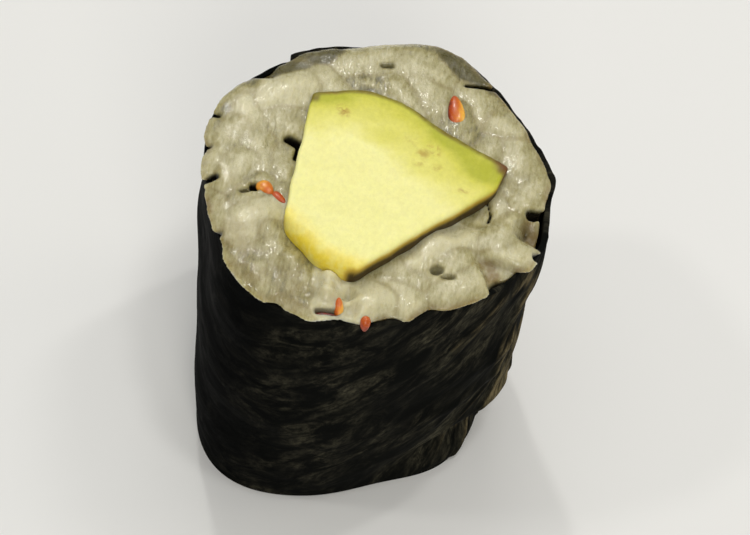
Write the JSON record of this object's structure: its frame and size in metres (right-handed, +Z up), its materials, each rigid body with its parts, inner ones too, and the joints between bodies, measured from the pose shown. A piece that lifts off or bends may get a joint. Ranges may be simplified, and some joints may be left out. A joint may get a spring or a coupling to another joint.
{
  "type": "avocado maki roll",
  "caption": "Upright piece of avocado maki roll: dark seaweed wrapped round a ring of sushi rice, with an avocado wedge through the middle and sesame seeds in the rice.",
  "frame": {"origin": "middle of the base that the piece stands on, under the middle of its bounding box", "axes": "+Z up along the roll, out of the cut face that shows; -Y towards the front, where the tip of the avocado wedge is nearest the wrap; +X to the right seen from the front"},
  "size_m": [0.0388, 0.0406, 0.039],
  "materials": {
    "seaweed": "satin",
    "rice": "satin",
    "avocado": "satin",
    "toasted_sesame": "gloss"
  },
  "bodies": {
    "root": {"seaweed_wrap": "seaweed", "rice_ring": "rice", "avocado_wedge": "avocado"}
  },
  "joints": []
}
